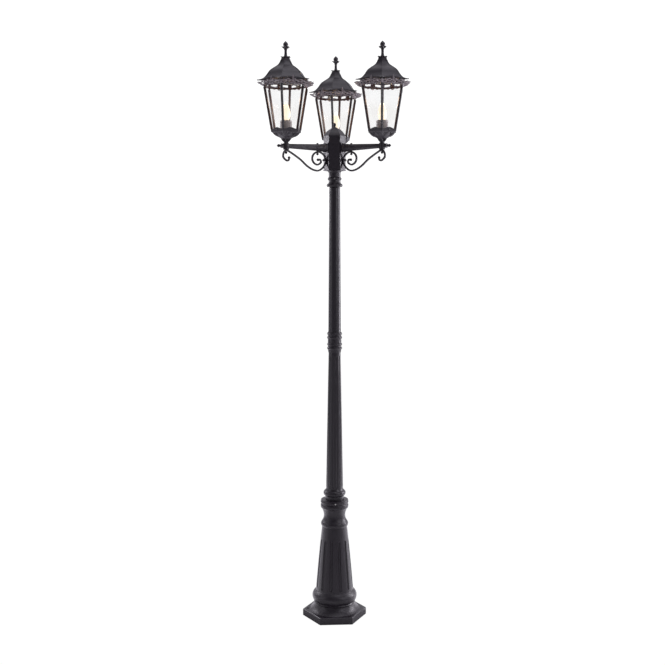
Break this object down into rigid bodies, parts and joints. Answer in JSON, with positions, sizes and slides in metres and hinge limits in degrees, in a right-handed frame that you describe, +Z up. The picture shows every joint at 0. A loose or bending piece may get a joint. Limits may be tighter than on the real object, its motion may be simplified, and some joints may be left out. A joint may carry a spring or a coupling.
{
  "type": "triple head lamp post",
  "caption": "Cast lamp post on a six-sided foot with a fluted pedestal, ringed shaft, scrolled arms and six-sided glazed lanterns with bell roofs",
  "frame": {"origin": "on the floor at the axis of the post, which is the centre of the anchor bolt circle", "axes": "+Z up along the post, +Y along the back arm, +X to the right as seen from the front"},
  "size_m": [0.5972, 0.5588, 2.3412],
  "materials": {
    "cast": "satin charcoal-black powder coat on cast metal, fine texture",
    "shaft": "satin charcoal-black powder coat on tube",
    "roof": "satin charcoal-black powder coat, slightly violet sheen",
    "screw": "bright zinc-plated steel",
    "nut": "plain plated steel",
    "block": "light moulded plastic",
    "lead": "brown insulated lead",
    "glass": "clear flat glass",
    "holder": "grey moulded lampholder",
    "bulb": "frosted warm-white bulb glass",
    "bulb_cap": "plated screw cap"
  },
  "bodies": {
    "post": {"base_casting": "cast", "neck_socket": "cast", "hub": "cast", "hub_cap": "cast", "arm_studs": "cast", "bracket_screws": "cast", "arm_tips": "cast", "joint_sleeve": "cast", "lower_shaft": "shaft", "upper_shaft": "shaft", "base_set_screws": "screw", "neck_set_screws": "screw", "frieze_screws": "screw", "neck_nut": "nut", "nipple_nuts": "nut", "terminal_block": "block", "lamp_leads": "lead", "arm_back": "cast", "scroll_back": "cast", "cup_back": "cast", "cage_back": "cast", "frieze_back": "cast", "glass_back": "glass", "bridge_back": "nut", "nipple_back": "nut", "lampholder_back": "holder", "arm_left": "cast", "scroll_left": "cast", "cup_left": "cast", "cage_left": "cast", "frieze_left": "cast", "glass_left": "glass", "bridge_left": "nut", "nipple_left": "nut", "lampholder_left": "holder", "arm_right": "cast", "scroll_right": "cast", "cup_right": "cast", "cage_right": "cast", "frieze_right": "cast", "glass_right": "glass", "bridge_right": "nut", "nipple_right": "nut", "lampholder_right": "holder"},
    "roof_part_back": {"roof_back": "roof", "crown_back": "cast"},
    "finial_part_back": {"finial_back": "cast"},
    "bulb_part_back": {"bulb_back": "bulb", "bulb_cap_back": "bulb_cap"},
    "roof_part_left": {"roof_left": "roof", "crown_left": "cast"},
    "finial_part_left": {"finial_left": "cast"},
    "bulb_part_left": {"bulb_left": "bulb", "bulb_cap_left": "bulb_cap"},
    "roof_part_right": {"roof_right": "roof", "crown_right": "cast"},
    "finial_part_right": {"finial_right": "cast"},
    "bulb_part_right": {"bulb_right": "bulb", "bulb_cap_right": "bulb_cap"}
  },
  "joints": [
    {"name": "roof_lift_back", "type": "slide", "parent": "post", "child": "roof_part_back", "axis": [0, 0, 1], "range_m": [0, 0.15]},
    {"name": "finial_turn_back", "type": "hinge", "parent": "roof_part_back", "child": "finial_part_back", "pos_m": [0, 0.217, 2.2824], "axis": [0, 0, 1], "continuous": true},
    {"name": "bulb_turn_back", "type": "hinge", "parent": "post", "child": "bulb_part_back", "pos_m": [0, 0.217, 2.038], "axis": [0, 0, 1], "continuous": true},
    {"name": "roof_lift_left", "type": "slide", "parent": "post", "child": "roof_part_left", "axis": [0, 0, 1], "range_m": [0, 0.15]},
    {"name": "finial_turn_left", "type": "hinge", "parent": "roof_part_left", "child": "finial_part_left", "pos_m": [-0.18793, -0.1085, 2.2824], "axis": [0, 0, 1], "continuous": true},
    {"name": "bulb_turn_left", "type": "hinge", "parent": "post", "child": "bulb_part_left", "pos_m": [-0.18793, -0.1085, 2.038], "axis": [0, 0, 1], "continuous": true},
    {"name": "roof_lift_right", "type": "slide", "parent": "post", "child": "roof_part_right", "axis": [0, 0, 1], "range_m": [0, 0.15]},
    {"name": "finial_turn_right", "type": "hinge", "parent": "roof_part_right", "child": "finial_part_right", "pos_m": [0.18793, -0.1085, 2.2824], "axis": [0, 0, 1], "continuous": true},
    {"name": "bulb_turn_right", "type": "hinge", "parent": "post", "child": "bulb_part_right", "pos_m": [0.18793, -0.1085, 2.038], "axis": [0, 0, 1], "continuous": true}
  ]
}
